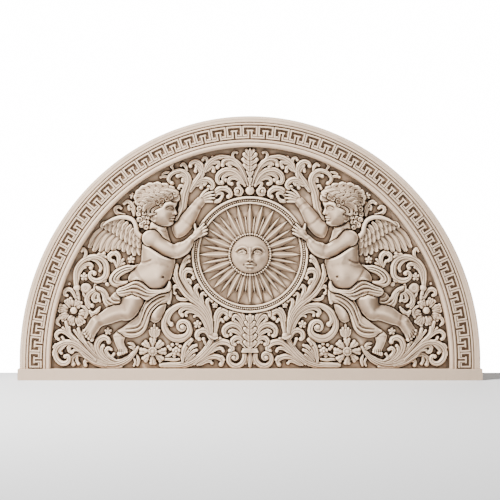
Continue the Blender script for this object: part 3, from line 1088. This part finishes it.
# How shut in each point is: the mean over twelve directions of the sine of the horizon's height there,
# where a wall counts up to a limit and fades out with its distance
def shutIn(height):
    pad = int(fieldParts["reaches"][-1] / cell) + 2
    wide = np.pad(height, pad, mode="edge")
    rows, cols = height.shape
    total = np.zeros_like(height)
    for angle in np.radians(np.arange(0, 360, 30)):
        steepest = np.zeros_like(height)
        for reach in fieldParts["reaches"]:
            down = pad + int(round(reach * math.sin(angle) / cell))
            across = pad + int(round(reach * math.cos(angle) / cell))
            rise = wide[down:down + rows, across:across + cols] - height
            fade = 1 - reach / fieldParts["fadeReach"]
            steepest = np.maximum(steepest, np.minimum(rise, fieldParts["wallLimit"]) / reach * fade)
        total += steepest / np.hypot(steepest, 1)
    return total / 12


# The whole field from the half one: mirrored, cut to the arch, then parted into upright strips
def carvedField():
    half = build()
    print("relief cut", flush=True)
    full = np.concatenate([half[:, :0:-1], half], 1)
    gx, gz = np.meshgrid(np.concatenate([-uAxis[:0:-1], uAxis]), vAxis)
    gx, gz, inside = fitToArch(gx, gz)
    depth = layout["groundDepth"] + np.where(inside, full, 0.0)
    shades = hollows(full), shutIn(np.where(inside, full, fieldParts["frameLip"]))
    keep = inside[:-1, :-1] | inside[1:, :-1] | inside[:-1, 1:] | inside[1:, 1:]
    columns = np.linspace(0, gx.shape[1] - 1, fieldParts["strips"] + 1).astype(int)
    for k, (a, b) in enumerate(zip(columns[:-1], columns[1:])):
        rows = np.where(keep[:, a:b].any(1))[0]
        cut = (slice(0, rows[-1] + 2), slice(a, b + 1))
        strip("carved_field_%d" % (k + 1), gx[cut], gz[cut], depth[cut], [one[cut] for one in shades],
              keep[0:rows[-1] + 1, a:b])


# Points outside the arch's inner edge are brought back onto it
def fitToArch(gx, gz):
    inset = layout["frameWidth"] - fieldParts["overlap"]
    ex, ez, _, _ = archPoint(np.linspace(0, math.pi, 4001), inset)
    spring = layout["archStilt"]
    limit = layout["archHalfWidth"] - inset
    reach = np.interp(np.arctan2(gz - spring, -gx), np.arctan2(ez - spring, -ex), np.hypot(ex, ez - spring))
    r = np.hypot(gx, gz - spring)
    above = gz > spring
    outside = np.where(above, r > reach, np.abs(gx) > limit)
    pull = np.where(above & outside, reach / np.maximum(r, 1), 1.0)
    fx = np.where(above, gx * pull, np.clip(gx, -limit, limit))
    fz = np.where(above, spring + (gz - spring) * pull, gz)
    return fx, fz, ~outside


# One strip as a closed block: its carved face, walls down from the rim and one flat back
def strip(name, gx, gz, depth, shades, keep):
    rows, cols = gx.shape
    index = np.arange(rows * cols).reshape(rows, cols)
    quads = np.stack([index[:-1, :-1], index[:-1, 1:], index[1:, 1:], index[1:, :-1]], -1)[keep]
    edges = np.concatenate([quads[:, [k, (k + 1) % 4]] for k in range(4)])
    code = edges.min(1) * rows * cols + edges.max(1)
    _, first, count = np.unique(code, return_index=True, return_counts=True)
    rim = edges[first[count == 1]]
    order = dict(zip(rim[:, 0].tolist(), rim[:, 1].tolist()))
    loop = [rim[0, 0]]
    while order[loop[-1]] != loop[0]:
        loop.append(order[loop[-1]])
    loop = np.array(loop)
    points = np.stack([gx.ravel(), gz.ravel(), depth.ravel()], 1)
    used = np.zeros(len(points), bool)
    used[quads.ravel()] = True
    fresh = np.cumsum(used) - 1
    top = len(points[used])
    n = len(loop)
    a, k = fresh[loop], np.arange(n)
    walls = np.stack([np.roll(a, -1), a, top + k, top + np.roll(k, -1)], 1)
    everything = np.concatenate([points[used], points[loop] * (1, 1, 0)])
    shades = [np.concatenate([values.ravel()[used], np.zeros(n)]) for values in shades]
    mesh = newPiece(name, everything, np.concatenate([fresh[quads], walls]), [top + k[::-1]], "carved_stone",
                    "carved_panel", shades)
    sharpRim(mesh, a, top)


# The edge between the carved face and the cut side stays crisp
def sharpRim(mesh, rim, top):
    ends = np.empty(len(mesh.edges) * 2, np.int32)
    mesh.edges.foreach_get("vertices", ends)
    ends = ends.reshape(-1, 2)
    isRim = np.zeros(len(mesh.vertices), bool)
    isRim[rim] = True
    isBack = np.arange(len(mesh.vertices)) >= top
    sharp = isRim[ends].all(1) | isBack[ends].all(1) | (isRim[ends].any(1) & isBack[ends].any(1))
    layer = mesh.attributes.new("sharp_edge", "BOOLEAN", "EDGE")
    layer.data.foreach_set("value", sharp)


keyBand = {
    "units": 45,
    "outer": 37.5,               # from the arch's outer edge to the key
    "height": 48.0,
    "floor": 93.0,
    "rise": 10.0,
    "fillet": 6.0,
    "bracketHalf": 29.2,
    "bracketReach": 40.0,
    "footInner": 11.5,
    "barHalf": 13.0,
    "barTop": 15.5,
    "stemInner": 3.5,
    "stemOuter": 9.5,
    "start": 4.0,                # the key's ends above the sill
    "endCut": 0.7,
    "bevel": 0.7,
    "foot": 0.3,                 # the frame's own gap over the sill
}


# Signed distance into the nearest bar of the key, from x across a unit and y inwards from its outer side
def keyDistance(x, y, pitch):
    k = keyBand
    x = np.abs(x)
    f = k["fillet"]
    bars = (
        (0.0, k["bracketHalf"], 0.0, f),
        (k["bracketHalf"] - f, k["bracketHalf"], 0.0, k["bracketReach"]),
        (k["footInner"], k["bracketHalf"], k["bracketReach"] - f, k["bracketReach"]),
        (0.0, k["barHalf"], k["barTop"], k["barTop"] + f),
        (k["stemInner"], k["stemOuter"], k["barTop"], k["height"]),
        (k["stemInner"], pitch, k["height"] - f, k["height"]),
    )
    best = np.full(np.broadcast(x, y).shape, -9.0)
    for x0, x1, y0, y1 in bars:
        left = x + 99.0 if x0 == 0.0 else x - x0
        best = np.maximum(best, np.minimum(np.minimum(left, x1 - x), np.minimum(y - y0, y1 - y)))
    return best


# The frame's section as rows of inset, depth and hollow shade, from the outer back edge to the inner one.
# The key's rows have no shade of their own
def sectionRows():
    rows = [(0.0, 0.0, 0.0), (0.0, 40.0, 0.0), (0.0, 90.0, 0.0), (0.0, 102.4, 0.0)]
    rows += arcRows(2.0, 102.6, 2.0, 180, 90, 5)
    rows += [(10.6, 104.9, 0.0), (11.4, 104.0, 0.35), (21.0, 104.1, 0.0)]
    rows += arcRows(20.6, 102.2, 1.8, 90, 0, 4)
    rows += [(23.0, 98.0, 0.7), (24.2, 96.4, 1.0), (25.4, 96.6, 1.0)]
    rows += arcRows(29.2, 99.6, 3.2, 175, 5, 9)
    rows += [(32.8, 94.0, 0.9), (33.6, 93.0, 0.9)]
    key = keyBand
    marks = [0.0, key["fillet"], key["barTop"], key["barTop"] + key["fillet"],
             key["bracketReach"] - key["fillet"], key["bracketReach"], key["height"] - key["fillet"],
             key["height"]]
    for mark in marks:
        rows += [(key["outer"] + mark + s * key["bevel"], key["floor"], None) for s in (-1, 1)]
    rows += [(89.6, 93.0, 0.9), (90.6, 94.0, 0.9)]
    rows += arcRows(95.4, 98.8, 4.2, 178, 4, 9)
    rows += [(100.2, 96.0, 1.0), (101.8, 95.6, 1.0), (102.8, 97.0, 0.8)]
    rows += arcRows(109.5, 96.0, 7.2, 172, 20, 9)
    return rows + [(117.0, 92.0, 0.1), (118.2, 80.0, 0.3), (119.0, 68.0, 0.6), (119.6, 58.0, 1.0),
                   (120.0, 52.0, 1.2), (120.0, 0.0, 0.0)]


# Points of a round, by its middle, radius and the angles it runs between. Its shade is 0.15 less a quarter
# of the sine, so the crest is pale and the sides are dark
def arcRows(inset, depth, radius, start, end, count):
    return [(inset + radius * math.cos(a), depth + radius * math.sin(a), 0.15 - 0.25 * math.sin(a))
            for a in np.radians(np.linspace(start, end, count))]


# The frame as two closed bars: its section swept along the arch, with the key raised in its channel
def archFrame():
    rows = sectionRows()
    inset, depth = (np.array([r[k] for r in rows]) for k in (0, 1))
    isKey = np.array([r[2] is None for r in rows])
    shade = np.array([r[2] or 0.0 for r in rows])
    key = keyBand
    mid = key["outer"] + key["height"] / 2
    arch = archPoint(np.linspace(0, math.pi, 6001), mid)
    ends = (arch[0][0], arch[0][-1]), (key["foot"], key["foot"]), (-1.0, 1.0), (0.0, 0.0)
    track = [np.concatenate([[a], line, [b]]) for line, (a, b) in zip(arch, ends)]
    run = np.concatenate([[0], np.cumsum(np.hypot(np.diff(track[0]), np.diff(track[1])))])
    length = run[-1]
    pitch = (length - 2 * key["start"]) / key["units"]
    edges = [key["bracketHalf"], key["bracketHalf"] - key["fillet"], key["barHalf"], key["footInner"],
             key["stemOuter"], key["stemInner"]]
    marks = [s * e + t * key["bevel"] for e in edges for s in (-1, 1) for t in (-1, 1)] + [0.0, 18.0, -18.0]
    stations = [0.0, key["start"] - key["endCut"], key["start"] + key["endCut"]]
    unit = [0] * 3
    for k in range(key["units"]):
        stations += [key["start"] + (k + 0.5) * pitch + m for m in sorted(marks)]
        unit += [k] * len(marks)
    stations += [length - key["start"] - key["endCut"], length - key["start"] + key["endCut"], length]
    unit += [key["units"] - 1] * 3
    stations, unit = np.array(stations), np.array(unit)
    x = stations - (key["start"] + (unit + 0.5) * pitch)
    inKey = keyDistance(x[:, None], inset[None, :] - key["outer"], pitch)
    inKey = np.minimum(inKey, np.minimum(stations, length - stations)[:, None] - key["start"])
    share = np.clip(inKey / key["bevel"] * 0.5 + 0.5, 0, 1)
    rise = np.where(isKey[None, :], key["rise"] * share, 0)
    rise = np.where(isKey[None, :] & (rise > 0.99 * key["rise"]), key["rise"], rise)
    px, pz, ux, uz = (np.interp(stations, run, line)[:, None] for line in track)
    size = np.hypot(ux, uz)
    back = (mid - inset)[None, :]
    gx = px + ux / size * back
    gz = np.maximum(pz + uz / size * back, key["foot"])
    gd = depth[None, :] + rise
    tone = np.where(isKey[None, :], np.clip(1.2 - 1.6 * share, -0.3, 1.2), shade[None, :])
    half = len(stations) // 2
    for name, part in (("arch_frame_left", slice(0, half + 1)), ("arch_frame_right", slice(half, None))):
        sweep(name, gx[part], gz[part], gd[part], tone[part].ravel())


# A closed bar from stations of one section; both ends are capped
def sweep(name, gx, gz, gd, tone):
    n, m = gx.shape
    index = np.arange(n * m).reshape(n, m)
    after = np.roll(index, -1, axis=1)
    quads = np.stack([index[:-1], after[:-1], after[1:], index[1:]], -1).reshape(-1, 4)
    points = np.stack([gx.ravel(), gz.ravel(), gd.ravel()], 1)
    newPiece(name, points, quads, [index[0, ::-1], index[-1]], "frame_stone", "arch_frame",
             (tone, np.clip(tone, 0, 1) * 0.4), 40)


# Every stone's surface. Colour: the light stone mixed to the dark one by clouds, mottle, how shut in and how
# hollow a place is, then to the crevice brown in the cuts, paler on the crests, times fine specks.
# Roughness: 0.72 to 0.9 with the hollow shade, plus a little mottle. Height: fine and middling grain
def stoneGroup():
    group = bpy.data.node_groups.new("limestoneFinish", "ShaderNodeTree")
    face = group.interface
    for name, kind, value in (("Light", "Color", (0.62, 0.54, 0.46, 1)),
                              ("Dark", "Color", (0.45, 0.36, 0.28, 1)),
                              ("Crevice", "Color", (0.09, 0.05, 0.025, 1)), ("Stain", "Float", 1.0),
                              ("Grain", "Float", 1.0)):
        face.new_socket(name=name, in_out="INPUT", socket_type="NodeSocket" + kind).default_value = value
    for name, kind in (("Colour", "Color"), ("Roughness", "Float"), ("Height", "Float")):
        face.new_socket(name=name, in_out="OUTPUT", socket_type="NodeSocket" + kind)
    nodes, links = group.nodes, group.links
    put, out = nodes.new("NodeGroupInput").outputs, nodes.new("NodeGroupOutput").inputs
    where = nodes.new("ShaderNodeTexCoord")

    def feed(node, given):
        for socket, value in given.items():
            if isinstance(value, bpy.types.NodeSocket):
                links.new(value, node.inputs[socket])
            else:
                node.inputs[socket].default_value = value

    def noise(scale, detail, rough=0.6):
        node = nodes.new("ShaderNodeTexNoise")
        feed(node, {"Scale": scale, "Detail": detail, "Roughness": rough, "Vector": where.outputs["Object"]})
        return node.outputs["Fac"]

    def maths(kind, a, b, clamp=False):
        node = nodes.new("ShaderNodeMath")
        node.operation = kind
        node.use_clamp = clamp
        feed(node, {0: a, 1: b})
        return node.outputs[0]

    def span(value, low, high, to0=0.0, to1=1.0):
        node = nodes.new("ShaderNodeMapRange")
        node.interpolation_type = "SMOOTHSTEP"
        feed(node, {"Value": value, "From Min": low, "From Max": high, "To Min": to0, "To Max": to1})
        return node.outputs["Result"]

    def blend(share, a, b, kind="MIX"):
        node = nodes.new("ShaderNodeMix")
        node.data_type = "RGBA"
        node.blend_type = kind
        feed(node, {"Factor": share, "A": a, "B": b})
        return node.outputs["Result"]

    def shade(name):
        node = nodes.new("ShaderNodeAttribute")
        node.attribute_name = name
        return node.outputs["Fac"]

    hollow, shut = shade("hollow"), shade("shut")
    cloud, mottle, speck = noise(4.5, 5), noise(38, 4), noise(420, 3, 0.7)
    # pale stone to darker warm stone
    warmth = maths("ADD", span(cloud, 0.35, 0.7, 0.0, 0.15), span(mottle, 0.4, 0.75, 0.0, 0.12))
    warmth = maths("ADD", warmth, span(shut, 0.06, 0.42))
    warmth = maths("ADD", warmth, span(hollow, -0.1, 0.6, 0.0, 0.4), True)
    # brown settled in the cuts
    edge = maths("ADD", hollow, maths("MULTIPLY", maths("SUBTRACT", mottle, 0.5), 0.3))
    settled = maths("ADD", span(edge, 0.15, 1.4, 0.0, 0.75), span(shut, 0.36, 0.72, 0.0, 0.75))
    stained = blend(maths("MULTIPLY", settled, put["Stain"], True), blend(warmth, put["Light"], put["Dark"]),
                    put["Crevice"])
    pale = blend(span(maths("MULTIPLY", hollow, -1.0), 0.3, 0.95, 0.0, 0.85), stained, (0.94, 0.745, 0.555, 1))
    specks = maths("MULTIPLY", span(speck, 0.52, 0.72, 0.0, 0.5), put["Grain"])
    links.new(blend(specks, pale, (0.82, 0.79, 0.75, 1), "MULTIPLY"), out["Colour"])
    links.new(maths("ADD", span(hollow, -0.2, 0.8, 0.72, 0.9), maths("MULTIPLY", mottle, 0.08)),
              out["Roughness"])
    grain = maths("ADD", maths("MULTIPLY", speck, 0.5), maths("MULTIPLY", noise(130, 3), 0.6))
    links.new(maths("MULTIPLY", grain, put["Grain"]), out["Height"])
    return group


# A stone's material: the finish above in the stone's own two colours. Colour and roughness go straight in,
# and the height bends the normal by 0.35 of a 0.6 mm bump
def stoneMaterial(name, light, dark, stain=1.0, grain=1.0):
    made = bpy.data.materials.new(name + " limestone")
    made.use_nodes = True
    nodes, links = made.node_tree.nodes, made.node_tree.links
    shader = nodes["Principled BSDF"]
    finish = nodes.new("ShaderNodeGroup")
    finish.node_tree = limestone
    for socket, value in (("Light", (*light, 1)), ("Dark", (*dark, 1)), ("Crevice", (0.06, 0.031, 0.015, 1)),
                          ("Stain", stain), ("Grain", grain)):
        finish.inputs[socket].default_value = value
    bump = nodes.new("ShaderNodeBump")
    bump.inputs["Strength"].default_value = 0.35
    bump.inputs["Distance"].default_value = 0.0006
    links.new(finish.outputs["Height"], bump.inputs["Height"])
    links.new(bump.outputs["Normal"], shader.inputs["Normal"])
    links.new(finish.outputs["Colour"], shader.inputs["Base Color"])
    links.new(finish.outputs["Roughness"], shader.inputs["Roughness"])
    shader.inputs["Specular IOR Level"].default_value = 0.3
    return made


view = {
    "lens": 120,
    "sensor": 36,
    "acrossMm": 1938.0,          # what the picture takes in, at the depth of the carved faces
    "midHeight": 461.0,
    "faceDepth": 100.0,
}
lights = (("top", (-1.7, -1.7, 2.7), 0.7, 400), ("front", (-0.6, -5.5, 1.2), 1.6, 60),
          ("right", (3.4, -3.2, 1.0), 2.6, 8))
floorParts = {"halfWidth": 6, "front": -8, "back": 0.3, "gap": 0.0005}
sky = {"faint": 0.16, "white": 16.0, "screenFrom": 0.955, "screenFull": 0.97}


def studio():
    cameraData = bpy.data.cameras.new("camera")
    cameraData.sensor_width = view["sensor"]
    cameraData.lens = view["lens"]
    camera = show("camera", cameraData)
    distance = view["acrossMm"] * mm * cameraData.lens / cameraData.sensor_width
    camera.location = (0, -distance - view["faceDepth"] * mm, (view["midHeight"] - layout["originHeight"]) * mm)
    camera.rotation_euler = (math.radians(90), 0, 0)
    bpy.context.scene.camera = camera
    for name, spot, size, power in lights:
        data = bpy.data.lights.new(name, "AREA")
        data.size = size
        data.energy = power
        lamp = show(name, data)
        lamp.location = spot
        aim = np.array([0, 0, 0.05]) - np.array(spot)
        lamp.rotation_euler = (math.atan2(math.hypot(aim[0], aim[1]), -aim[2]), 0, math.atan2(-aim[0], aim[1]))
    backdrop()
    low = -(layout["originHeight"] + layout["sillHeight"]) * mm - floorParts["gap"]
    side, front, back = floorParts["halfWidth"], floorParts["front"], floorParts["back"]
    mesh = bpy.data.meshes.new("floor")
    mesh.from_pydata([(-side, front, low), (side, front, low), (side, back, low), (-side, back, low)], [],
                     [(0, 1, 2, 3)])
    plain = bpy.data.materials.new("pale floor")
    plain.use_nodes = True
    plain.node_tree.nodes["Principled BSDF"].inputs["Base Color"].default_value = (0.93, 0.93, 0.93, 1)
    plain.node_tree.nodes["Principled BSDF"].inputs["Roughness"].default_value = 0.9
    mesh.materials.append(plain)
    show("floor", mesh)


# Faint light all round and a white screen straight behind the panel; the camera sees white on every side.
# Strength: the larger of a ramp from faint to white over the direction's Y, and white on camera rays
def backdrop():
    world = bpy.data.worlds.new("world")
    world.use_nodes = True
    nodes, links = world.node_tree.nodes, world.node_tree.links
    screen, white, larger, where, parts, sight = (nodes.new("ShaderNode" + kind) for kind in (
        "MapRange", "MapRange", "Math", "TexCoord", "SeparateXYZ", "LightPath"))
    for socket, key in (("From Min", "screenFrom"), ("From Max", "screenFull"), ("To Min", "faint"),
                        ("To Max", "white")):
        screen.inputs[socket].default_value = sky[key]
    white.inputs["To Max"].default_value = sky["white"]
    larger.operation = "MAXIMUM"
    links.new(where.outputs["Generated"], parts.inputs[0])
    links.new(parts.outputs["Y"], screen.inputs["Value"])
    links.new(sight.outputs["Is Camera Ray"], white.inputs["Value"])
    for k, node in enumerate((screen, white)):
        links.new(node.outputs["Result"], larger.inputs[k])
    nodes["Background"].inputs["Color"].default_value = (1, 1, 1, 1)
    links.new(larger.outputs["Value"], nodes["Background"].inputs["Strength"])
    bpy.context.scene.world = world


limestone = stoneGroup()
stones = {
    "carved": stoneMaterial("carved", (0.60, 0.445, 0.317), (0.31, 0.22, 0.15)),
    "frame": stoneMaterial("frame", (0.70, 0.525, 0.385), (0.36, 0.255, 0.172)),
    "sill": stoneMaterial("sill", (0.56, 0.425, 0.312), (0.44, 0.325, 0.23), 0.6, 1.2),
}
studio()
print("studio set", flush=True)
carvedField()
archFrame()
for name in ("sill_centre", "sill_left", "sill_right"):
    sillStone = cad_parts[name]
    sillStone.data.materials.clear()
    sillStone.data.materials.append(stones["sill"])
print("sill dressed", flush=True)
